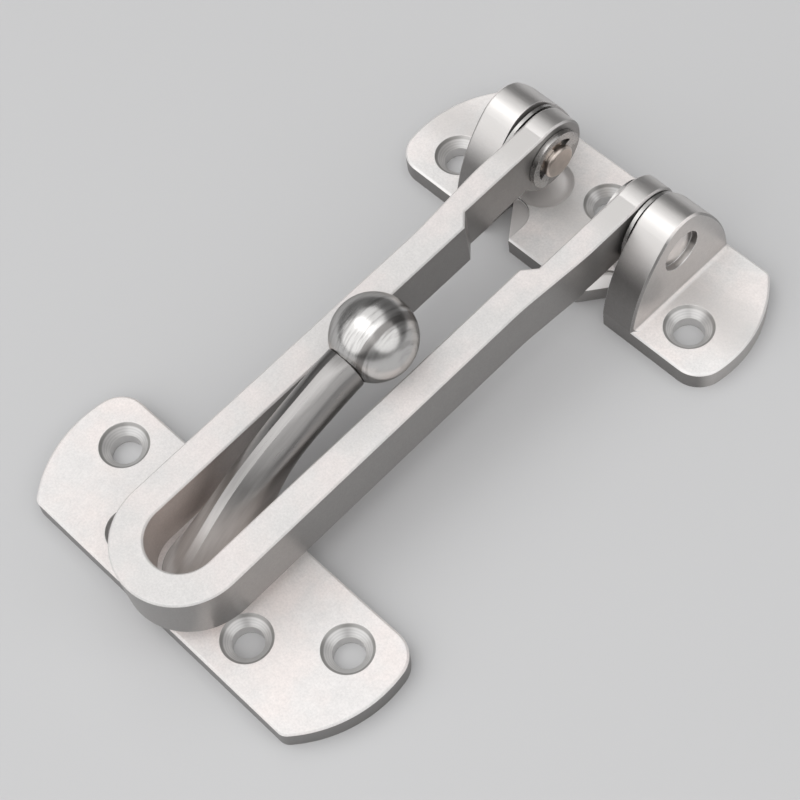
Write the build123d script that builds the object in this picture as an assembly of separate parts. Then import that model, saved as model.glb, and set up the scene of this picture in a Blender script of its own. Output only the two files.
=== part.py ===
from build123d import *

import math
import os

# Swing bar door guard, seen as it lies on a table in its locked position.
# Millimetres. X runs along both mounting plates and along the hinge pins.
# Y runs along the bar, from the ball plate to the hinge plate. Z points up,
# and both plates lie on the plane Z = 0. The origin is the middle of the
# hinge plate's back face, straight below the pin axis.

# Mounting plates, which share one outline
plate_length = 70.4
plate_width = 23.5
plate_thickness = 3.7
end_arc_radius = 22.0
end_widest_from_inner_edge = 8.0
inner_corner_radius = 5.0
outer_corner_radius = 2.0
plate_edge_break = 0.35
plate_gap = 62.6

# Countersunk screw holes
screw_hole_diameter = 5.2
countersink_diameter = 8.4
countersink_angle = 90.0
hole_edge_distance = 7.1
end_hole_spacing = 52.0
inner_hole_spacing = 27.0

# Hinge ears and pins
pin_height = 14.3
ear_inner_face = 13.8
ear_thickness = 6.2
ear_front_flank_radius = 28.4
ear_back_flank_radius = 30.0
ear_head_radius = 5.6
ear_root_fillet = 0.9
ear_edge_break = 0.35
pin_diameter = 6.0
pin_bore_clearance = 0.05
pin_recess_diameter = 7.6
pin_recess_depth = 1.2
pin_end_below_ear_face = 0.45
pin_dome_radius = 9.0
pin_stand_out = 1.9
pin_chamfer = 0.3

# Openings in the hinge plate under the bar
notch_front_half_gap = 7.6
notch_back_half_gap = 13.0
notch_depth = 7.0
channel_radius = 4.0
channel_length = 7.5
channel_depth = 0.7
pocket_radius = 5.2
pocket_floor_radius = 3.6
pocket_depth = 0.7
pocket_centre_x = 11.2
pocket_centre_y = 0.7

# Swing bar
bar_tilt = 2.6
bar_height = 10.0
bar_top_above_pin = 6.7
bar_end_past_ball_plate = 2.4
bar_outer_radius = 11.4
slot_half_width = 6.0
eye_radius = 6.9
eye_outer_face = 12.4
eye_inner_face = 8.1
gap_shoulder_from_pin = 21.9
gap_shoulder_run = 2.2
flare_start_from_pin = 27.0
flare_end_from_pin = 13.0
flare_blend_radius = 60.0
underside_step_from_pin = 15.0
underside_step_height = 0.8
bar_edge_break = 0.3

# Spring washers between the ears and the bar
washer_diameter = 13.4
washer_thickness = 0.6
washer_bow = 0.45
washer_pin_clearance = 0.1
washer_ear_clearance = 0.02

# E-shaped retaining clips in grooves near the inner pin ends
clip_diameter = 10.8
clip_hollow_diameter = 8.2
clip_thickness = 0.9
clip_prong_width = 2.2
clip_side_prong_angle = 80.0
clip_end_reach = 2.2
clip_mouth_angle = -60.0
clip_eye_clearance = 0.1
clip_groove_diameter = 5.0
clip_groove_clearance = 0.02

# Ball and the end of the horn that carries it
ball_diameter = 14.0
ball_forward = 38.5
ball_height = 23.8
horn_end_slope = 9.5
horn_end_radius = 3.5
horn_end_from_ball_centre = 6.2
horn_seat_clearance = 0.05
spigot_diameter = 4.6
spigot_length = 6.0

# Horn stations from the root to the ball. Each holds the crest point, the
# belly point, the half width and the slope of the flank at the crest. Places
# are measured from the middle of the ball plate's top face.
crest_half_width = 0.75
root_sink = 0.8
horn_stations = [
    ((-8.5, -root_sink), (6.6, -root_sink), 7.4, 20.0),
    ((-5.3, 4.3), (8.6, 2.9), 5.5, 32.0),
    ((1.1, 9.7), (11.8, 6.5), 4.5, 45.0),
    ((7.2, 14.1), (15.3, 9.5), 3.9, 45.0),
    ((14.1, 17.5), (19.3, 11.9), 3.6, 35.0),
    ((23.1, 20.5), (25.1, 13.7), 3.5, 22.0),
]
horn_end_crest_slope = 12.0
widest_share_of_height = 0.5

# Places and sizes that follow from the driving values
plate_half_width = plate_width / 2
ear_outer_face = ear_inner_face + ear_thickness
clip_back = eye_inner_face - clip_eye_clearance
clip_front = clip_back - clip_thickness
ball_plate_y = -(plate_width + plate_gap)
hinge_edge_hole_y = -plate_half_width + hole_edge_distance
countersink_depth = (countersink_diameter - screw_hole_diameter) / 2 / math.tan(
    math.radians(countersink_angle / 2)
)
bar_reach = -ball_plate_y + bar_end_past_ball_plate
ball_centre = (0, ball_plate_y + ball_forward, ball_height)


def plate_outline():
    """The outline of both plates, its inner edge towards +Y."""
    widest_y = plate_half_width - end_widest_from_inner_edge
    arc_centre_spacing = plate_length - 2 * end_arc_radius
    ends = SlotCenterToCenter(arc_centre_spacing, 2 * end_arc_radius)
    outline = Rectangle(plate_length, plate_width) & Pos(0, widest_y) * ends
    inner_corners = outline.vertices().sort_by(Axis.Y)[-2:]
    outline = fillet(inner_corners, inner_corner_radius)
    outer_corners = outline.vertices().sort_by(Axis.Y)[:2]
    return fillet(outer_corners, outer_corner_radius)


def plate_blank():
    """A plate with broken top edges, its inner edge towards +Y."""
    blank = extrude(plate_outline(), plate_thickness)
    return chamfer(blank.faces().sort_by(Axis.Z)[-1].edges(), plate_edge_break)


def screw_holes(places):
    """Cutters for countersunk holes through a plate, at (x, y) places."""
    profile = Polyline(
        (0, 0),
        (screw_hole_diameter / 2, 0),
        (screw_hole_diameter / 2, plate_thickness - countersink_depth),
        (countersink_diameter / 2, plate_thickness),
        (0, plate_thickness),
        close=True,
    )
    cutter = revolve(Plane.XZ * make_face(profile), Axis.Z)
    return [Pos(x, y) * cutter for x, y in places]


def cylinder_along_x(diameter, start_x, end_x):
    """A cylinder on the pin axis between two places along X."""
    disc = Plane.YZ.offset(start_x) * Pos(0, pin_height) * Circle(diameter / 2)
    return extrude(disc, end_x - start_x)


def ear_profile():
    """The side view of an ear: long curved flanks that meet in a round head."""
    front_reach = math.sqrt(ear_front_flank_radius**2 - plate_thickness**2)
    back_reach = math.sqrt(ear_back_flank_radius**2 - plate_thickness**2)
    front = Pos(front_reach - plate_half_width, 0) * Circle(ear_front_flank_radius)
    back = Pos(plate_half_width - back_reach, 0) * Circle(ear_back_flank_radius)
    arch = front & back
    arch = fillet(arch.vertices().sort_by(Axis.Y)[-1], ear_head_radius)
    foot = Rectangle(plate_width, plate_thickness, align=(Align.CENTER, Align.MIN))
    above = Rectangle(plate_width, front_reach, align=(Align.CENTER, Align.MIN))
    return foot + (arch & Pos(0, plate_thickness) * above)


def build_ear(side):
    """One ear, with the broken edge round its outer face."""
    blank = extrude(Plane.YZ.offset(ear_inner_face) * ear_profile(), ear_thickness)
    outer_edges = blank.faces().sort_by(Axis.X)[-1].edges()
    rim = outer_edges.filter_by(lambda edge: edge.center().Z > plate_thickness)
    ear = chamfer(rim, ear_edge_break)
    return ear if side > 0 else mirror(ear, Plane.YZ)


def notch(side):
    """The opening in front of one ear, with a slanted inner wall."""
    front = -plate_half_width
    back = front + notch_depth
    outline = make_face(
        Polyline(
            (side * notch_front_half_gap, front - plate_thickness),
            (side * notch_front_half_gap, front),
            (side * notch_back_half_gap, back),
            (side * ear_inner_face, back),
            (side * ear_inner_face, front - plate_thickness),
            close=True,
        )
    )
    return extrude(outline, plate_thickness)


def channel(side):
    """The shallow channel under one arm, from the front edge to its round end."""
    middle_x = notch_front_half_gap + channel_radius
    end_y = -plate_half_width + channel_length - channel_radius
    run = plate_half_width + plate_thickness + end_y
    outline = Circle(channel_radius) + Rectangle(
        2 * channel_radius, run, align=(Align.CENTER, Align.MAX)
    )
    lane = Rectangle(ear_inner_face, 2 * plate_width, align=(Align.MIN, Align.CENTER))
    outline = (Pos(middle_x, end_y) * outline) & lane
    floor_z = plate_thickness - channel_depth
    cut = extrude(Pos(0, 0, floor_z) * outline, channel_depth)
    return cut if side > 0 else mirror(cut, Plane.YZ)


def edge_near(shape, place):
    """The edge of a shape that lies nearest a place."""
    return shape.edges().sort_by_distance(place)[0]


def pocket(side):
    """The shallow dished pocket in the plate below one end of the bar."""
    floor_z = plate_thickness - pocket_depth
    floor_end = (pocket_floor_radius, floor_z)
    rim = (pocket_radius, plate_thickness)
    wall = TangentArc(floor_end, rim, tangent=(1, 0))
    rest = Polyline(rim, (0, plate_thickness), (0, floor_z), floor_end)
    dish = revolve(Plane.XZ * make_face([wall, rest]), Axis.Z)
    reach = Box(
        ear_inner_face,
        plate_width,
        plate_thickness,
        align=(Align.MIN, Align.CENTER, Align.MIN),
    )
    dish = (Pos(pocket_centre_x, pocket_centre_y) * dish) & reach
    return dish if side > 0 else mirror(dish, Plane.YZ)


def build_hinge_plate():
    """The cast plate with two ears for the pins."""
    casting = Rot(0, 0, 180) * plate_blank()
    for side in (-1, 1):
        casting += build_ear(side)
        casting -= notch(side)
        ear_root = (side * ear_outer_face, 0, plate_thickness)
        casting = fillet(edge_near(casting, ear_root), ear_root_fillet)
        casting -= channel(side)
        casting -= pocket(side)
    recess_floor = ear_outer_face - pin_recess_depth
    for side in (-1, 1):
        casting -= cylinder_along_x(
            pin_diameter, side * ear_inner_face, side * ear_outer_face
        )
        casting -= cylinder_along_x(
            pin_recess_diameter, side * recess_floor, side * ear_outer_face
        )
    middle = [(0, plate_half_width - hole_edge_distance)]
    ends = [(side * end_hole_spacing / 2, hinge_edge_hole_y) for side in (-1, 1)]
    casting -= screw_holes(middle + ends)
    return casting


def build_pin(side):
    """A hinge pin with a domed outer end and a groove near its inner end."""
    inner_end = eye_inner_face - pin_stand_out
    outer_end = ear_outer_face - pin_end_below_ear_face
    pin = cylinder_along_x(pin_diameter, inner_end, outer_end)
    pin = chamfer(pin.faces().sort_by(Axis.X)[0].edges(), pin_chamfer)
    dome = Pos(outer_end - pin_dome_radius, 0, pin_height) * Sphere(pin_dome_radius)
    pin &= dome
    groove = (clip_front - clip_groove_clearance, clip_back + clip_groove_clearance)
    pin -= cylinder_along_x(pin_diameter, *groove)
    pin += cylinder_along_x(clip_groove_diameter, *groove)
    return pin if side > 0 else mirror(pin, Plane.YZ)


def build_spring_washer(side):
    """A bowed washer whose two rims bear on the ear, its crown towards the bar."""
    rim_radius = washer_diameter / 2
    rim_face = ear_inner_face - washer_ear_clearance
    bend_radius = (rim_radius**2 + washer_bow**2) / (2 * washer_bow)
    bend_axis_x = rim_face + bend_radius - washer_bow
    band = Circle(bend_radius + washer_thickness) - Circle(bend_radius)
    shell = extrude(Pos(bend_axis_x, 0) * band, washer_diameter, both=True)
    ring = cylinder_along_x(washer_diameter, eye_outer_face, ear_inner_face)
    bore_diameter = pin_diameter + 2 * washer_pin_clearance
    ring -= cylinder_along_x(bore_diameter, eye_outer_face, ear_inner_face)
    washer = ring & Pos(0, 0, pin_height) * shell
    return washer if side > 0 else mirror(washer, Plane.YZ)


def clip_outline():
    """An E-shaped clip in its own plane, its mouth towards +X."""
    outer = Circle(clip_diameter / 2)
    outline = outer - Circle(clip_hollow_diameter / 2)
    prong = Rectangle(
        clip_diameter / 2, clip_prong_width, align=(Align.MIN, Align.CENTER)
    )
    for angle in (clip_side_prong_angle, 180, -clip_side_prong_angle):
        outline += outer & Rot(0, 0, angle) * prong
    mouth = Rectangle(clip_diameter, clip_diameter, align=(Align.MIN, Align.CENTER))
    outline -= Pos(clip_end_reach, 0) * mouth
    return outline - Circle(clip_groove_diameter / 2)


def build_retaining_clip(side):
    """A flat clip whose three prongs grip the groove of the pin."""
    place = Plane.YZ.offset(clip_front) * Pos(0, pin_height) * Rot(0, 0, clip_mouth_angle)
    clip = extrude(place * clip_outline(), clip_thickness)
    return clip if side > 0 else mirror(clip, Plane.YZ)


def long_outline(end_radius, side_points):
    """A plan outline with a round far end and the same side on both arms."""
    hinge_end = side_points[-1][1]
    half = Polyline(
        (0, -bar_reach), (end_radius, -bar_reach), *side_points, (0, hinge_end), close=True
    )
    half = make_face(half)
    return half + mirror(half, Plane.YZ) + Pos(0, -bar_reach) * Circle(end_radius)


def bar_plan():
    """The plan of the bar: a round end, straight arms, then the wider hinge end."""
    hinge_end = eye_radius + bar_edge_break
    outer = long_outline(
        bar_outer_radius,
        [
            (bar_outer_radius, -flare_start_from_pin),
            (eye_outer_face, -flare_end_from_pin),
            (eye_outer_face, hinge_end),
        ],
    )
    flare_corners = outer.vertices().filter_by(
        lambda corner: corner.Y in (-flare_start_from_pin, -flare_end_from_pin)
    )
    outer = fillet(flare_corners, flare_blend_radius)
    slot = long_outline(
        slot_half_width,
        [
            (slot_half_width, -gap_shoulder_from_pin),
            (eye_inner_face, gap_shoulder_run - gap_shoulder_from_pin),
            (eye_inner_face, hinge_end),
        ],
    )
    return outer - slot


def bar_side_view():
    """The side view of the bar: a deep arm that ends in the round, proud eye."""
    arm_end = bar_reach + bar_outer_radius + bar_edge_break
    bottom = bar_top_above_pin - bar_height
    step_y = -underside_step_from_pin
    raised = bottom + underside_step_height
    arm = make_face(
        Polyline(
            (-arm_end, bar_top_above_pin),
            (0, bar_top_above_pin),
            (0, raised),
            (step_y + underside_step_height, raised),
            (step_y, bottom),
            (-arm_end, bottom),
            close=True,
        )
    )
    return arm + Circle(eye_radius)


def bar_outline_edges(bar):
    """The edges of the bar's top, its underside and its eyes, without the creases."""
    level_faces = bar.faces().filter_by(Plane.XY).sort_by(Axis.Z)
    edges = level_faces[-1].edges() + level_faces[0].edges()
    outline = edges.filter_by(lambda edge: edge not in edges.filter_by(Axis.X))
    rounds = bar.edges().filter_by(GeomType.CIRCLE)
    return outline + rounds.filter_by(lambda edge: math.isclose(edge.radius, eye_radius))


def build_swing_bar():
    """The one-piece bar, modelled level on the pin axis and then tilted."""
    plan = extrude(bar_plan(), eye_radius, both=True)
    side_view = extrude(Plane.YZ * bar_side_view(), ear_inner_face, both=True)
    bar = plan & side_view
    bar = chamfer(bar_outline_edges(bar), bar_edge_break)
    bore = Plane.YZ * Circle(pin_diameter / 2 + pin_bore_clearance)
    bar -= extrude(bore, ear_inner_face, both=True)
    return Pos(0, 0, pin_height) * Rot(bar_tilt, 0, 0) * bar


def section_plane(crest, belly):
    """The plane of a horn section, its origin at the belly point."""
    belly_point = Vector(0, ball_plate_y + belly[0], plate_thickness + belly[1])
    crest_point = Vector(0, ball_plate_y + crest[0], plate_thickness + crest[1])
    up = (crest_point - belly_point).normalized()
    return Plane(belly_point, x_dir=(1, 0, 0), z_dir=Vector(1, 0, 0).cross(up))


def horn_section(crest, belly, half_width, crest_slope):
    """A section with a narrow flat crest, full flanks and a round belly."""
    height = (Vector(*crest) - Vector(*belly)).length
    widest = (half_width, widest_share_of_height * height)
    corner = (crest_half_width, height)
    slope = math.radians(crest_slope)
    down_flank = (math.cos(slope), -math.sin(slope))
    right = Spline(corner, widest, (0, 0), tangents=[down_flank, (-1, 0)])
    left = Spline(
        (0, 0),
        (-widest[0], widest[1]),
        (-corner[0], corner[1]),
        tangents=[(-1, 0), (down_flank[0], -down_flank[1])],
    )
    crest_flat = Line((-crest_half_width, height), corner)
    return section_plane(crest, belly) * make_face([crest_flat, right, left])


def horn_end_station():
    """The last station, square to the line from the horn to the ball."""
    slope = math.radians(horn_end_slope)
    distance = horn_end_from_ball_centre
    centre_y = ball_forward - distance * math.cos(slope)
    centre_z = ball_height - plate_thickness - distance * math.sin(slope)
    rise = (-math.sin(slope) * horn_end_radius, math.cos(slope) * horn_end_radius)
    crest = (centre_y + rise[0], centre_z + rise[1])
    belly = (centre_y - rise[0], centre_z - rise[1])
    return crest, belly, horn_end_radius, horn_end_crest_slope


def ball_axis_plane():
    """The plane through the ball's centre, facing from the horn to the ball."""
    slope = math.radians(horn_end_slope)
    return Plane(ball_centre, x_dir=(1, 0, 0), z_dir=(0, math.cos(slope), math.sin(slope)))


def build_horn():
    """The curved horn, from below the plate's top face to the ball."""
    sections = [horn_section(*station) for station in horn_stations]
    sections.append(horn_section(*horn_end_station()))
    return loft(sections) - Pos(*ball_centre) * Sphere(ball_diameter / 2 + horn_seat_clearance)


def build_ball_plate():
    """The second plate, cast with the horn that passes through the bar."""
    casting = Pos(0, ball_plate_y) * plate_blank() + build_horn()
    hole_y = plate_half_width - hole_edge_distance
    places = [(side * end_hole_spacing / 2, ball_plate_y + hole_y) for side in (-1, 1)]
    places += [(side * inner_hole_spacing / 2, ball_plate_y - hole_y) for side in (-1, 1)]
    casting -= screw_holes(places)
    socket = ball_axis_plane() * Circle(spigot_diameter / 2)
    casting -= extrude(socket, -(ball_diameter / 2 + spigot_length))
    return casting


def build_ball():
    """The ball and its spigot, turned as one piece about the axis of the horn's end."""
    radius = ball_diameter / 2
    spigot_end = -radius - spigot_length
    half = Rectangle(ball_diameter, radius, align=(Align.CENTER, Align.MIN))
    profile = (Circle(radius) & half) + Pos(spigot_end, 0) * Rectangle(
        radius + spigot_length, spigot_diameter / 2, align=(Align.MIN, Align.MIN)
    )
    ball = revolve(profile, Axis.X)
    return ball_axis_plane() * Rot(0, -90, 0) * ball


def main():
    """Builds every piece and writes each one to its own file."""
    pieces = {
        "hinge_plate": build_hinge_plate(),
        "swing_bar": build_swing_bar(),
        "left_pin": build_pin(-1),
        "right_pin": build_pin(1),
        "left_spring_washer": build_spring_washer(-1),
        "right_spring_washer": build_spring_washer(1),
        "left_retaining_clip": build_retaining_clip(-1),
        "right_retaining_clip": build_retaining_clip(1),
        "ball_plate": build_ball_plate(),
        "ball": build_ball(),
    }
    os.makedirs("parts", exist_ok=True)
    for name, piece in pieces.items():
        export_step(piece, f"parts/{name}.step")


main()
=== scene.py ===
"""Swing bar door guard: finishes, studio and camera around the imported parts."""

from __future__ import annotations

import logging
import math
from abc import ABC, abstractmethod
from collections.abc import Sequence
from dataclasses import dataclass
from enum import Enum

import bmesh
import bpy
from mathutils import Euler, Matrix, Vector


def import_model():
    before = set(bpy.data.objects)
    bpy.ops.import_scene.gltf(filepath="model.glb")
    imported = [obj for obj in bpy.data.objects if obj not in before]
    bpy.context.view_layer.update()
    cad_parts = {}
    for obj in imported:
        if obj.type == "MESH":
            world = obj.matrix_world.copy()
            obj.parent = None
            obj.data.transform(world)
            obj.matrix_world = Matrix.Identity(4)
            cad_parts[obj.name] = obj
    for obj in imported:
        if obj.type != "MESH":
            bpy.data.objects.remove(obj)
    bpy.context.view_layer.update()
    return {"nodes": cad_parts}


LOG = logging.getLogger("door_guard")
MM = 0.001

# Sizes of the part that several finishes need, in millimetres.
PLATE_THICKNESS = 3.7
PIN_HEIGHT = 14.3
OUTER_HOLE_X = 26.0
INNER_HOLE_X = 13.5
HOLE_ROW_OFFSET = 4.65

# The places of the Mix node's factor, its two colours and its colour result.
MIX_FACTOR, MIX_FIRST, MIX_SECOND, MIX_RESULT = 0, 6, 7, 2

Colour = tuple[float, float, float]
Point = tuple[float, float, float]
Range = tuple[float, float]


class Node(Enum):
    """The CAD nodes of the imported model."""

    HINGE_PLATE = "hinge_plate"
    SWING_BAR = "swing_bar"
    BALL_PLATE = "ball_plate"
    BALL = "ball"
    LEFT_PIN = "left_pin"
    RIGHT_PIN = "right_pin"
    LEFT_WASHER = "left_spring_washer"
    RIGHT_WASHER = "right_spring_washer"
    LEFT_CLIP = "left_retaining_clip"
    RIGHT_CLIP = "right_retaining_clip"


class Socket:
    """A shader output that Python arithmetic can be written on."""

    def __init__(self, graph: Graph, output: bpy.types.NodeSocket) -> None:
        """Wraps one output of a node in a graph."""
        self.graph = graph
        self.output = output

    def maths(self, operation: str, *values: Socket | float) -> Socket:
        """Adds one Math node and returns its result."""
        inputs = dict(enumerate(values))
        return self.graph.node("ShaderNodeMath", {"operation": operation}, inputs)

    def __add__(self, other: Socket | float) -> Socket:
        """Adds a socket or a number."""
        return self.maths("ADD", self, other)

    def __radd__(self, other: float) -> Socket:
        """Adds this socket to a number."""
        return self.maths("ADD", other, self)

    def __sub__(self, other: Socket | float) -> Socket:
        """Subtracts a socket or a number."""
        return self.maths("SUBTRACT", self, other)

    def __rsub__(self, other: float) -> Socket:
        """Subtracts this socket from a number."""
        return self.maths("SUBTRACT", other, self)

    def __mul__(self, other: Socket | float) -> Socket:
        """Multiplies by a socket or a number."""
        return self.maths("MULTIPLY", self, other)

    def __rmul__(self, other: float) -> Socket:
        """Multiplies a number by this socket."""
        return self.maths("MULTIPLY", other, self)

    def __abs__(self) -> Socket:
        """The value without its sign."""
        return self.maths("ABSOLUTE", self)

    def least(self, other: Socket | float) -> Socket:
        """The smaller of this and another value."""
        return self.maths("MINIMUM", self, other)

    def rings(self, pitch: float) -> Socket:
        """Swings between 0 and 1, once in each pitch of a distance."""
        swing = self.maths("SINE", self * (2 * math.pi / pitch))
        return swing * 0.5 + 0.5

    def ramp(self, low: float, high: float) -> Socket:
        """Rises smoothly with this value.

        Args:
            low: Where it leaves 0.
            high: Where it reaches 1.

        Returns:
            The ramp, 0 to 1.
        """
        settings = {"interpolation_type": "SMOOTHSTEP"}
        inputs = {"Value": self, "From Min": low, "From Max": high}
        return self.graph.node("ShaderNodeMapRange", settings, inputs)


@dataclass(frozen=True)
class Span:
    """A value that goes from one number to another."""

    start: float
    end: float

    def over(self, pattern: Socket) -> Socket:
        """The value over a pattern that goes from 0 to 1."""
        return self.start + pattern * (self.end - self.start)


@dataclass(frozen=True)
class Pattern:
    """A cloudy pattern: the size of its blotches in millimetres, how many times
    longer they are along X, Y and Z, and how many and how strong its finer layers are.
    """

    size: float
    stretch: Point = (1, 1, 1)
    detail: float = 2.0
    roughness: float = 0.5


class Graph:
    """The node tree of one material, with lengths in millimetres."""

    bevel_samples: int = 12
    flat_sameness: Range = (0.80, 0.995)

    def __init__(self, name: str) -> None:
        """Makes a material with a bare Principled metal.

        Args:
            name: The name of the material.
        """
        self.material = bpy.data.materials.new(name)
        self.material.use_nodes = True
        self.tree = self.material.node_tree
        self.shader = self.tree.nodes["Principled BSDF"]
        self.feed(Metallic=1.0)
        coordinates = self.node("ShaderNodeTexCoord", output="Object")
        self.place = self.vector("SCALE", coordinates, Scale=1 / MM)
        self.x, self.y, self.z = self.split(self.place)

    def node(
        self,
        kind: str,
        settings: dict[str, object] | None = None,
        inputs: dict[int | str, object] | None = None,
        output: int | str = 0,
    ) -> Socket:
        """Adds a node, sets it up and feeds its sockets.

        Args:
            kind: The type of the node.
            settings: Properties of the node, set before its sockets are fed.
            inputs: A value or a Socket for each input, by name or place.
            output: The output that is returned.

        Returns:
            The chosen output.
        """
        made = self.tree.nodes.new(kind)
        for key, value in (settings or {}).items():
            setattr(made, key, value)
        for key, value in (inputs or {}).items():
            self.plug(made.inputs[key], value)
        return Socket(self, made.outputs[output])

    def plug(self, target: bpy.types.NodeSocket, value: object) -> None:
        """Links a Socket to an input, or sets the input to a plain value.

        Args:
            target: The input of a node.
            value: A Socket or a value.
        """
        if isinstance(value, Socket):
            self.tree.links.new(value.output, target)
        else:
            target.default_value = value

    def feed(self, **sockets: object) -> None:
        """Sets or links inputs of the Principled shader, underscores for spaces."""
        for key, value in sockets.items():
            self.plug(self.shader.inputs[key.replace("_", " ")], value)

    def vector(
        self, operation: str, *values: Socket | Point, output: int = 0, **named: object
    ) -> Socket:
        """Adds one Vector Math node.

        Args:
            operation: The name of the operation.
            values: Its vector inputs in order.
            output: 0 for a vector result and 1 for a number.
            named: Inputs that go by name, such as Scale.

        Returns:
            The chosen result.
        """
        inputs = {**dict(enumerate(values)), **named}
        return self.node("ShaderNodeVectorMath", {"operation": operation}, inputs, output)

    def scaled(self, colour: Socket | Colour, tone: Socket) -> Socket:
        """A colour made brighter or darker by a tone."""
        return self.vector("SCALE", colour, Scale=tone)

    def split(self, vector: Socket) -> tuple[Socket, Socket, Socket]:
        """The three components of a vector."""
        first = self.node("ShaderNodeSeparateXYZ", inputs={0: vector})
        outputs = first.output.node.outputs
        return first, Socket(self, outputs[1]), Socket(self, outputs[2])

    def noise(self, pattern: Pattern) -> Socket:
        """Cloudy noise in the piece's own space.

        Args:
            pattern: Its size, stretch and layers.

        Returns:
            The noise from 0 to 1, 0.5 on average.
        """
        squeeze = tuple(1 / length for length in pattern.stretch)
        inputs = {
            "Vector": self.vector("MULTIPLY", self.place, squeeze),
            "Scale": 1 / pattern.size,
            "Detail": pattern.detail,
            "Roughness": pattern.roughness,
        }
        return self.node("ShaderNodeTexNoise", inputs=inputs)

    def blend(
        self, base: Socket | Colour, other: Socket | Colour, share: Socket | float
    ) -> Socket:
        """Goes from one colour to another.

        Args:
            base: The colour where the share is 0.
            other: The colour where it is 1.
            share: How much of the other colour is used, 0 to 1.

        Returns:
            The mixed colour.
        """
        first, second = (c if isinstance(c, Socket) else (*c, 1) for c in (base, other))
        inputs = {MIX_FACTOR: share, MIX_FIRST: first, MIX_SECOND: second}
        return self.node("ShaderNodeMix", {"data_type": "RGBA"}, inputs, MIX_RESULT)

    def facing(self) -> tuple[Socket, Socket, Socket]:
        """How far the surface faces along X, Y and Z of the piece, -1 to 1."""
        return self.split(self.node("ShaderNodeTexCoord", output="Normal"))

    def soft_edges(self, radius: float) -> tuple[Socket, Socket]:
        """Edges that catch the light as if they were rounded.

        Args:
            radius: The radius of the rounding in millimetres.

        Returns:
            The rounded normal, and a mask that is 1 on the edges.
        """
        settings = {"samples": self.bevel_samples}
        rounded = self.node("ShaderNodeBevel", settings, {"Radius": radius * MM})
        true = self.node("ShaderNodeNewGeometry", output="Normal")
        sameness = self.vector("DOT_PRODUCT", rounded, true, output=1)
        return rounded, 1 - sameness.ramp(*self.flat_sameness)

    def bump(self, height: Socket, depth: float, normal: Socket | None = None) -> Socket:
        """Turns a height from 0 to 1 into a bumped normal.

        Args:
            height: The height.
            depth: How deep 1 is, in millimetres.
            normal: The normal that is bumped, if not the surface's own.

        Returns:
            The bumped normal.
        """
        inputs = {"Height": height, "Distance": depth * MM, "Strength": 1.0}
        if normal is not None:
            inputs["Normal"] = normal
        return self.node("ShaderNodeBump", inputs=inputs)


@dataclass
class Surface:
    """The channels and masks of a casting's finish while its details are laid on."""

    graph: Graph
    colour: Socket
    roughness: Socket
    metallic: Socket
    height: Socket
    edge: Socket
    sideways: Socket
    upwards: Socket
    on_top: Socket
    patches: Socket

    def lay(
        self, mask: Socket, colour: Socket | Colour | None = None, **others: Socket | float
    ) -> None:
        """Lays a detail over the surface.

        Args:
            mask: Where the detail is, 0 to 1.
            colour: The colour of the detail.
            others: Its roughness, metallic or height, by name.
        """
        if colour is not None:
            self.colour = self.graph.blend(self.colour, colour, mask)
        for name, value in others.items():
            under = getattr(self, name)
            setattr(self, name, under * (1 - mask) + value * mask)


class Detail(ABC):
    """A detail that is laid over the skin of a casting."""

    @abstractmethod
    def lay_on(self, surface: Surface) -> None:
        """Lays the detail on a surface."""


@dataclass(frozen=True)
class ScrewHole:
    """A countersunk hole, by the place of its axis in millimetres."""

    x: float
    y: float


@dataclass(frozen=True)
class TurnedHoles(Detail):
    """Countersinks with the fine rings of the tool and a ring of painted shade at the top."""

    holes: tuple[ScrewHole, ...]
    cone: Colour = (0.70, 0.69, 0.682)
    # Painted shade: the dark colour of the ring at the top of each countersink.
    rim: Colour = (0.40, 0.39, 0.38)
    radius: float = 4.2
    border: float = 0.08
    shaded_rim_ring: Range = (0.5, 0.35)
    above_underside: Range = (0.02, 0.1)
    groove_pitch: float = 0.32
    groove_tone: Span = Span(0.86, 0.99)
    patch_tone: float = 0.08
    roughness: float = 0.34
    groove_height: float = 0.3

    def distance(self, graph: Graph) -> Socket:
        """The distance from the axis of the nearest hole.

        Args:
            graph: The graph of the finish.

        Returns:
            The distance in millimetres.
        """
        flat = graph.vector("MULTIPLY", graph.place, (1, 1, 0))
        nearest = None
        for hole in self.holes:
            away = graph.vector("DISTANCE", flat, (hole.x, hole.y, 0), output=1)
            nearest = away if nearest is None else nearest.least(away)
        return nearest

    def lay_on(self, surface: Surface) -> None:
        """Lays the cones and the rings of painted shade on a plate.

        Args:
            surface: The surface of the plate.
        """
        graph = surface.graph
        away = self.distance(graph)
        inside = 1 - away.ramp(self.radius, self.radius + self.border)
        inside = inside * graph.z.ramp(*self.above_underside)
        grooves = away.rings(self.groove_pitch)
        tone = self.groove_tone.over(grooves) + surface.patches * self.patch_tone
        inner, outer = (self.radius - step for step in self.shaded_rim_ring)
        # Painted shade: the outer band of each countersink turns to the dark ring colour.
        colour = graph.blend(graph.scaled(self.cone, tone), self.rim, away.ramp(inner, outer))
        height = grooves * self.groove_height
        surface.lay(inside, colour, roughness=self.roughness, height=height)
        surface.edge = surface.edge * (1 - inside)


@dataclass(frozen=True)
class LitRecess(Detail):
    """The bottoms of the recesses below the top of a plate, painted pale as painted light, so
    that they stay bright in the shade of the parts above them.
    """

    top_height: float
    # Painted light: a pale colour that keeps the shaded recesses bright.
    colour: Colour = (0.97, 0.945, 0.93)
    border: float = 0.1
    facing_up: Range = (0.25, 0.5)
    roughness: Span = Span(0.34, 0.46)

    def lay_on(self, surface: Surface) -> None:
        """Lays the painted light on the recess bottoms of a plate.

        Args:
            surface: The surface of the plate.
        """
        below = 1 - surface.graph.z.ramp(self.top_height - self.border, self.top_height)
        inside = surface.upwards.ramp(*self.facing_up) * below
        # Painted light: the recess bottoms get the pale colour instead of the dark side colour.
        surface.lay(inside, self.colour, roughness=self.roughness.over(surface.patches))


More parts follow.
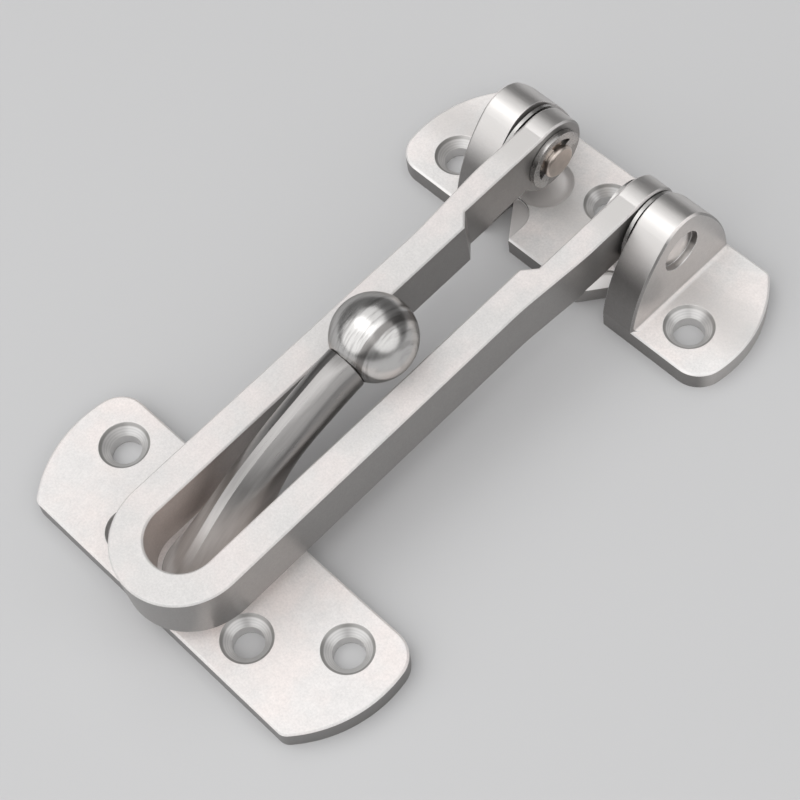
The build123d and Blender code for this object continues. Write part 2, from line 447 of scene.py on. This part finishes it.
@dataclass(frozen=True)
class PolishedHorn(Detail):
    """The horn, pale and satin at its root, darker and polished towards the ball, with a painted
    highlight along its crest.
    """

    root_height: float
    root: Colour = (0.60, 0.58, 0.566)
    tip: Colour = (0.30, 0.291, 0.286)
    crest_highlight: Colour = (0.66, 0.645, 0.63)
    border: float = 0.7
    rubbed_heights: Range = (12.0, 20.0)
    crest_highlight_facing: Range = (0.86, 0.97)
    fine: Pattern = Pattern(0.4, (1, 14, 8), 3.0)
    coarse: Pattern = Pattern(1.0, (1, 24, 14), 3.0)
    darkest: float = 0.66
    streak_tone: float = 0.34
    gloss: Span = Span(0.36, 0.22)
    streak_roughness: float = 0.16
    metallic: Span = Span(0.65, 1.0)
    streak_height: float = 0.5

    def lay_on(self, surface: Surface) -> None:
        """Lays the streaky polish on the horn.

        Args:
            surface: The surface of the plate that carries the horn.
        """
        graph = surface.graph
        on_horn = graph.z.ramp(self.root_height, self.root_height + self.border)
        fine, coarse = graph.noise(self.fine), graph.noise(self.coarse)
        rubbed = graph.z.ramp(*self.rubbed_heights)
        # Painted highlight: the faces of the horn that turn up get a lighter colour along the
        # crest.
        on_crest_highlight = surface.upwards.ramp(*self.crest_highlight_facing) * (1 - rubbed)
        colour = graph.blend(self.root, self.tip, rubbed)
        colour = graph.blend(colour, self.crest_highlight, on_crest_highlight)
        tone = self.darkest + (fine + coarse) * self.streak_tone
        surface.lay(
            on_horn,
            graph.scaled(colour, tone),
            roughness=self.gloss.over(rubbed) + fine * self.streak_roughness,
            metallic=self.metallic.over(rubbed),
            height=fine * self.streak_height,
        )


@dataclass(frozen=True)
class GroundBarrels(Detail):
    """The round outsides of the ears or eyes, ground with lines along the pins."""

    colour: Colour = (0.70, 0.68, 0.665)
    pin_height: float = PIN_HEIGHT
    reach: float = 8.5
    border: float = 4.0
    end_facing: Range = (0.3, 0.6)
    lines: Pattern = Pattern(0.25, (14, 1, 1))
    roughness: Span = Span(0.34, 0.48)
    line_height: float = 0.5

    def lay_on(self, surface: Surface) -> None:
        """Lays the ground finish about the pins.

        Args:
            surface: The surface of the casting.
        """
        graph = surface.graph
        above = graph.z - self.pin_height
        away = graph.y * graph.y + above * above
        near = 1 - away.ramp(self.reach**2, (self.reach + self.border) ** 2)
        near = near * (1 - abs(surface.sideways).ramp(*self.end_facing))
        lines = graph.noise(self.lines)
        roughness = self.roughness.over(lines)
        surface.lay(near * surface.on_top, self.colour)
        surface.lay(near, roughness=roughness, metallic=1.0, height=lines * self.line_height)


@dataclass(frozen=True)
class Slot:
    """The slot of the bar, open towards the hinge, with a browner skin at its end that is also
    painted lighter than the shaded sides, fading into their painted shade further in.
    """

    # A browner tone, and lighter than the painted shade of the other sides.
    skin: Colour = (0.74, 0.67, 0.635)
    half_width: float = 6.0
    round_end_y: float = -88.5
    wall: Range = (0.3, 1.0)
    lit_skin_reach: Range = (6.0, 30.0)

    def lit_end_walls(self, graph: Graph) -> Socket:
        """The walls of the slot near its round end, painted lighter than the shaded sides.

        Args:
            graph: The graph of the finish.

        Returns:
            A mask that is 1 on those walls.
        """
        past_end = (graph.y - self.round_end_y).least(0.0)
        away = graph.x * graph.x + past_end * past_end
        inner, outer = ((self.half_width + step) ** 2 for step in self.wall)
        near, far = (self.round_end_y + step for step in self.lit_skin_reach)
        # Painted shade: the lighter skin fades out further from the round end, into the dark side
        # colour.
        return (1 - away.ramp(inner, outer)) * (1 - graph.y.ramp(near, far))


@dataclass(frozen=True)
class SatinSteel:
    """Cast stainless steel, blasted and brushed on top, with painted shade on its sides, whose
    colour is much darker than the top's.
    """

    name: str
    details: tuple[Detail, ...]
    top: Colour = (0.91, 0.86, 0.84)
    cool_top: Colour = (0.86, 0.84, 0.83)
    # Painted shade: faces that do not face up or down get this dark colour instead of the pale
    # top colour.
    side: Colour = (0.34, 0.328, 0.32)
    # Painted light: faces turned along X get this lighter colour instead of the dark side colour.
    lit_end_face: Colour | None = None
    slot: Slot | None = None
    # Edges are painted lighter: partly wear, partly painted highlight.
    worn_highlit_edge: Colour = (0.93, 0.92, 0.91)
    edge_radius: float = 0.25
    edge_wear_highlight: float = 0.8
    facing_up: Range = (0.42, 0.70)
    facing_sideways: Range = (0.6, 0.95)
    clouds: Pattern = Pattern(9.0, detail=3.0)
    cloud_border: Range = (0.35, 0.65)
    patches: Pattern = Pattern(2.2, detail=4.0, roughness=0.6)
    specks: Pattern = Pattern(0.36, detail=3.0, roughness=0.7)
    strokes: Pattern = Pattern(0.35, (1, 1, 9), 3.0)
    patch_tone: Span = Span(0.78, 0.92)
    speck_tone: float = 0.30
    roughness: Span = Span(0.30, 0.68)
    uneven_roughness: float = 0.08
    metallic: Span = Span(0.8, 0.6)
    speck_height: Span = Span(0.25, 1.0)
    stroke_height: float = 0.35
    relief: float = 0.010

    def skin(self, graph: Graph, edge: Socket) -> Surface:
        """The skin of the casting before its details.

        Args:
            graph: The graph of the finish.
            edge: The mask of the edges, worn and painted with highlight.

        Returns:
            The surface, with its channels and masks.
        """
        sideways, _, upwards = graph.facing()
        on_top = abs(upwards).ramp(*self.facing_up)
        clouds = graph.noise(self.clouds).ramp(*self.cloud_border)
        patches = graph.noise(self.patches)
        specks = graph.noise(self.specks)
        strokes = graph.noise(self.strokes) * (1 - on_top)
        side = self.side
        # Painted light: faces turned along X are blended towards a lighter side colour.
        if self.lit_end_face:
            side = graph.blend(side, self.lit_end_face, abs(sideways).ramp(*self.facing_sideways))
        # Painted light: the slot walls near the round end are lighter than the painted shade of
        # the other sides.
        if self.slot:
            side = graph.blend(side, self.slot.skin, self.slot.lit_end_walls(graph))
        # Painted shade: only faces turned up or down get the pale top colours, and the rest get
        # the dark side colour.
        colour = graph.blend(side, graph.blend(self.cool_top, self.top, clouds), on_top)
        tone = self.patch_tone.over(patches) + specks * self.speck_tone
        return Surface(
            graph=graph,
            colour=graph.scaled(colour, tone),
            roughness=self.roughness.over(on_top) + (patches - edge) * self.uneven_roughness,
            metallic=self.metallic.over(on_top),
            height=specks * self.speck_height.over(on_top) + strokes * self.stroke_height,
            edge=edge,
            sideways=sideways,
            upwards=upwards,
            on_top=on_top,
            patches=patches,
        )

    def material(self) -> bpy.types.Material:
        """Builds the finish.

        Returns:
            The material, with its skin, its details and its edges, worn and painted lighter as
            highlight.
        """
        graph = Graph(self.name)
        rounded, edge = graph.soft_edges(self.edge_radius)
        surface = self.skin(graph, edge)
        for detail in self.details:
            detail.lay_on(surface)
        worn_highlit_share = surface.edge * self.edge_wear_highlight
        # Painted highlight together with wear: the edges are blended towards a pale colour.
        graph.feed(
            Base_Color=graph.blend(surface.colour, self.worn_highlit_edge, worn_highlit_share),
            Roughness=surface.roughness,
            Metallic=surface.metallic,
            Normal=graph.bump(surface.height, self.relief, rounded),
        )
        return graph.material


@dataclass(frozen=True)
class PolishedBall:
    """Hand-polished stainless steel with uneven streaks, and one darker band across it that is a
    painted dark reflection.
    """

    name: str = "polished_ball"
    bright: Colour = (0.66, 0.65, 0.64)
    dull: Colour = (0.27, 0.26, 0.253)
    rim: Colour = (0.5, 0.49, 0.48)
    streaks: Pattern = Pattern(0.6, (1, 12, 12), 4.0, 0.6)
    bands: Pattern = Pattern(1.7, (1, 7, 7))
    waves: Pattern = Pattern(4.0, (1, 3, 3), 1.0)
    streak_share: float = 0.7
    band_share: float = 0.3
    # Painted reflection: where the dark band runs across the ball and how dark it is.
    dark_reflection_x: float = 3.0
    dark_reflection_half_width: Range = (0.1, 0.9)
    dark_reflection_wander: float = 1.6
    dark_reflection_depth: float = 0.26
    polish_and_reflection_border: Range = (0.26, 0.52)
    roughness: Span = Span(0.18, 0.32)
    streak_relief: float = 0.02
    wave_relief: float = 0.3

    def material(self) -> bpy.types.Material:
        """Builds the streaky polish.

        Returns:
            The material of the ball.
        """
        graph = Graph(self.name)
        streaks = graph.noise(self.streaks)
        bands = graph.noise(self.bands)
        waves = graph.noise(self.waves)
        # Painted reflection: a dark, wavering band near x = 3 mm is taken off the streaky polish.
        from_dark_reflection = graph.x - self.dark_reflection_x + (waves - 0.5) * self.dark_reflection_wander
        dark_reflection = 1 - abs(from_dark_reflection).ramp(*self.dark_reflection_half_width)
        polish_and_reflection = streaks * self.streak_share + bands * self.band_share - dark_reflection * self.dark_reflection_depth
        wavy = graph.bump(waves, self.wave_relief)
        graph.feed(
            Base_Color=graph.blend(self.dull, self.bright, polish_and_reflection.ramp(*self.polish_and_reflection_border)),
            Roughness=self.roughness.over(streaks),
            Specular_Tint=(*self.rim, 1),
            Normal=graph.bump(streaks, self.streak_relief, wavy),
        )
        return graph.material


@dataclass(frozen=True)
class TurnedPin:
    """Plain turned steel with fine rings on its ends, a little warm in tone."""

    name: str = "turned_pin"
    inner_end: Colour = (0.68, 0.60, 0.54)
    outer_end: Colour = (0.72, 0.69, 0.67)
    worn_highlit_edge: Colour = (0.9, 0.88, 0.86)
    axis_height: float = PIN_HEIGHT
    outer_end_x: Range = (15.0, 16.0)
    ring_pitch: float = 0.3
    ring_relief: float = 0.008
    edge_radius: float = 0.15
    edge_wear_highlight: float = 0.4
    patches: Pattern = Pattern(1.2, detail=3.0)
    tone: Span = Span(0.85, 1.15)
    roughness: Span = Span(0.24, 0.38)

    def material(self) -> bpy.types.Material:
        """Builds the turned surface.

        Returns:
            The material of the pins.
        """
        graph = Graph(self.name)
        rounded, edge = graph.soft_edges(self.edge_radius)
        across = graph.vector("SUBTRACT", graph.place, (0, 0, self.axis_height))
        across = graph.vector("MULTIPLY", across, (0, 1, 1))
        rings = graph.vector("LENGTH", across, output=1).rings(self.ring_pitch)
        patches = graph.noise(self.patches)
        outwards = abs(graph.x).ramp(*self.outer_end_x)
        colour = graph.blend(self.inner_end, self.outer_end, outwards)
        colour = graph.scaled(colour, self.tone.over(patches))
        graph.feed(
            # Painted highlight together with wear: the pin's edges are blended towards a pale
            # colour.
            Base_Color=graph.blend(colour, self.worn_highlit_edge, edge * self.edge_wear_highlight),
            Roughness=self.roughness.over(patches),
            Normal=graph.bump(rings, self.ring_relief, rounded),
        )
        return graph.material


@dataclass(frozen=True)
class SpringSteel:
    """Stamped spring steel, tumbled bright, with edges painted lighter, partly wear and partly
    painted highlight.
    """

    name: str = "spring_steel"
    colour: Colour = (0.46, 0.45, 0.44)
    worn_highlit_edge: Colour = (0.92, 0.91, 0.9)
    edge_radius: float = 0.10
    edge_wear_highlight: float = 0.4
    patches: Pattern = Pattern(0.9)
    tone: Span = Span(0.88, 1.12)
    roughness: Span = Span(0.20, 0.36)
    relief: float = 0.004

    def material(self) -> bpy.types.Material:
        """Builds the tumbled surface.

        Returns:
            The material of the washers and clips.
        """
        graph = Graph(self.name)
        _, edge = graph.soft_edges(self.edge_radius)
        patches = graph.noise(self.patches)
        colour = graph.scaled(self.colour, self.tone.over(patches))
        graph.feed(
            # Painted highlight together with wear: the edges are blended towards a pale colour.
            Base_Color=graph.blend(colour, self.worn_highlit_edge, edge * self.edge_wear_highlight),
            Roughness=self.roughness.over(patches),
            Normal=graph.bump(patches, self.relief),
        )
        return graph.material


def put_on(nodes: dict[str, bpy.types.Object], piece: Node, material: bpy.types.Material) -> None:
    """Gives a CAD node its one material and reports it.

    Args:
        nodes: The CAD nodes by name.
        piece: The node that is dressed.
        material: Its finish.
    """
    slots = nodes[piece.value].data.materials
    slots.clear()
    slots.append(material)
    LOG.info("dressed %s in %s", piece.value, material.name)


@dataclass
class HingePlate:
    """The cast plate with the two ears."""

    # Painted light: the top is paler than the bar's top, to offset the shade that the bar's arms
    # cast on the tongue.
    top: Colour = (0.95, 0.905, 0.885)
    cool_top: Colour = (0.90, 0.885, 0.875)
    # Painted shade: the dark colour of the plate's sides.
    side: Colour = (0.25, 0.241, 0.235)
    # Painted light: the lighter colour of the faces turned along X.
    lit_end_face: Colour = (0.55, 0.53, 0.518)
    holes: tuple[ScrewHole, ...] = (
        ScrewHole(-OUTER_HOLE_X, -HOLE_ROW_OFFSET),
        ScrewHole(OUTER_HOLE_X, -HOLE_ROW_OFFSET),
        ScrewHole(0.0, HOLE_ROW_OFFSET),
    )
    recess_starts: float = PLATE_THICKNESS - 0.03

    def dress(self, nodes: dict[str, bpy.types.Object]) -> None:
        """Puts the satin finish on the casting.

        Args:
            nodes: The CAD nodes by name.
        """
        details = (LitRecess(self.recess_starts), TurnedHoles(self.holes), GroundBarrels())
        finish = SatinSteel(
            "satin_hinge_plate",
            details,
            top=self.top,
            cool_top=self.cool_top,
            side=self.side,
            lit_end_face=self.lit_end_face,
        )
        put_on(nodes, Node.HINGE_PLATE, finish.material())


@dataclass
class SwingBar:
    """The one-piece bar."""

    top: Colour = (0.81, 0.77, 0.755)
    cool_top: Colour = (0.76, 0.745, 0.735)
    slot: Slot = Slot()

    def dress(self, nodes: dict[str, bpy.types.Object]) -> None:
        """Puts the satin finish on the bar.

        Args:
            nodes: The CAD nodes by name.
        """
        finish = SatinSteel(
            "satin_swing_bar",
            (GroundBarrels(),),
            top=self.top,
            cool_top=self.cool_top,
            slot=self.slot,
        )
        put_on(nodes, Node.SWING_BAR, finish.material())


@dataclass
class BallPlate:
    """The plate with the horn, and the ball on it."""

    # Painted shade: the dark colour of the plate's sides.
    side: Colour = (0.27, 0.262, 0.257)
    middle_y: float = -86.1
    horn_starts: float = PLATE_THICKNESS + 0.05

    def holes(self) -> tuple[ScrewHole, ...]:
        """The four holes, the inner two in the row away from the hinge."""
        near, far = self.middle_y - HOLE_ROW_OFFSET, self.middle_y + HOLE_ROW_OFFSET
        outer = [ScrewHole(side * OUTER_HOLE_X, far) for side in (-1, 1)]
        inner = [ScrewHole(side * INNER_HOLE_X, near) for side in (-1, 1)]
        return (*outer, *inner)

    def dress(self, nodes: dict[str, bpy.types.Object]) -> None:
        """Puts the satin finish on the casting and the polish on the ball.

        Args:
            nodes: The CAD nodes by name.
        """
        details = (PolishedHorn(self.horn_starts), TurnedHoles(self.holes()))
        finish = SatinSteel("satin_ball_plate", details, side=self.side)
        put_on(nodes, Node.BALL_PLATE, finish.material())
        put_on(nodes, Node.BALL, PolishedBall().material())


@dataclass
class HingeHardware:
    """The pins, spring washers and retaining clips."""

    pins: tuple[Node, ...] = (Node.LEFT_PIN, Node.RIGHT_PIN)
    stampings: tuple[Node, ...] = (
        Node.LEFT_WASHER,
        Node.RIGHT_WASHER,
        Node.LEFT_CLIP,
        Node.RIGHT_CLIP,
    )

    def dress(self, nodes: dict[str, bpy.types.Object]) -> None:
        """Puts the turned and the stamped finish on the small pieces.

        Args:
            nodes: The CAD nodes by name.
        """
        turned = TurnedPin().material()
        stamped = SpringSteel().material()
        for piece in self.pins:
            put_on(nodes, piece, turned)
        for piece in self.stampings:
            put_on(nodes, piece, stamped)


@dataclass(frozen=True)
class SoftBox:
    """A round lamp with an even, soft light, turned to the object, in metres."""

    name: str
    direction: Point
    distance: float
    size: float
    brightness: float

    def build(self, target: Vector) -> None:
        """Hangs the lamp in its direction and turns it to its target.

        Args:
            target: The place that the lamp is turned to.
        """
        data = bpy.data.lights.new(self.name, "AREA")
        data.shape = "DISK"
        data.size = self.size
        disc_area = math.pi * self.size**2 / 4
        data.energy = self.brightness * math.pi * disc_area
        lamp = bpy.data.objects.new(self.name, data)
        bpy.context.scene.collection.objects.link(lamp)
        away = Vector(self.direction).normalized()
        lamp.location = target + away * self.distance
        lamp.rotation_euler = away.to_track_quat("Z", "Y").to_euler()


@dataclass
class Studio:
    """The pale floor, the soft lamps, the surrounding light and the camera."""

    floor_half_width: float = 3.0
    floor_colour: Colour = (0.58, 0.58, 0.585)
    floor_roughness: float = 0.8
    surround: float = 0.15
    middle: Point = (0.0, -0.045, 0.01)
    boxes: Sequence[SoftBox] = (
        SoftBox("overhead_box", (-0.28, 0.10, 0.955), 1.0, 1.4, 0.85),
        SoftBox("left_box", (-0.20, -0.65, 0.733), 1.0, 1.9, 1.12),
        SoftBox("right_box", (0.705, 0.082, 0.706), 1.0, 1.5, 0.95),
    )
    camera_place_mm: Point = (141.75, -146.34, 293.486)
    camera_angles: Point = (30.4047, 5.3958, 45.328)
    camera_lens: float = 94.869
    camera_clip_start: float = 0.01

    def build(self) -> None:
        """Builds the whole studio."""
        self.build_floor()
        self.build_surround()
        for box in self.boxes:
            box.build(Vector(self.middle))
        self.build_camera()
        bpy.context.scene.view_settings.view_transform = "Standard"
        LOG.info("built the studio")

    def build_floor(self) -> None:
        """Lays the pale floor under the plates."""
        bm = bmesh.new()
        bmesh.ops.create_grid(bm, x_segments=1, y_segments=1, size=self.floor_half_width)
        mesh = bpy.data.meshes.new("floor")
        bm.to_mesh(mesh)
        bm.free()
        graph = Graph("pale_floor")
        colour = (*self.floor_colour, 1)
        graph.feed(Metallic=0.0, Base_Color=colour, Roughness=self.floor_roughness)
        mesh.materials.append(graph.material)
        floor = bpy.data.objects.new("floor", mesh)
        bpy.context.scene.collection.objects.link(floor)

    def build_surround(self) -> None:
        """Surrounds the object with an even, dim light."""
        world = bpy.data.worlds.new("studio")
        world.use_nodes = True
        background = world.node_tree.nodes["Background"]
        background.inputs["Color"].default_value = (1, 1, 1, 1)
        background.inputs["Strength"].default_value = self.surround
        bpy.context.scene.world = world

    def build_camera(self) -> None:
        """Sets the camera where the photograph was taken from."""
        camera = bpy.data.objects.new("camera", bpy.data.cameras.new("camera"))
        bpy.context.scene.collection.objects.link(camera)
        camera.location = Vector(self.camera_place_mm) * MM
        angles = [math.radians(angle) for angle in self.camera_angles]
        camera.rotation_euler = Euler(angles, "XYZ")
        camera.data.lens = self.camera_lens
        camera.data.clip_start = self.camera_clip_start
        bpy.context.scene.camera = camera


def main() -> None:
    """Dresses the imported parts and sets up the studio."""
    logging.basicConfig(level=logging.INFO, format="%(message)s")
    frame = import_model()
    for assembly in (HingePlate(), SwingBar(), BallPlate(), HingeHardware()):
        assembly.dress(frame["nodes"])
    Studio().build()


if __name__ == "__main__":
    main()
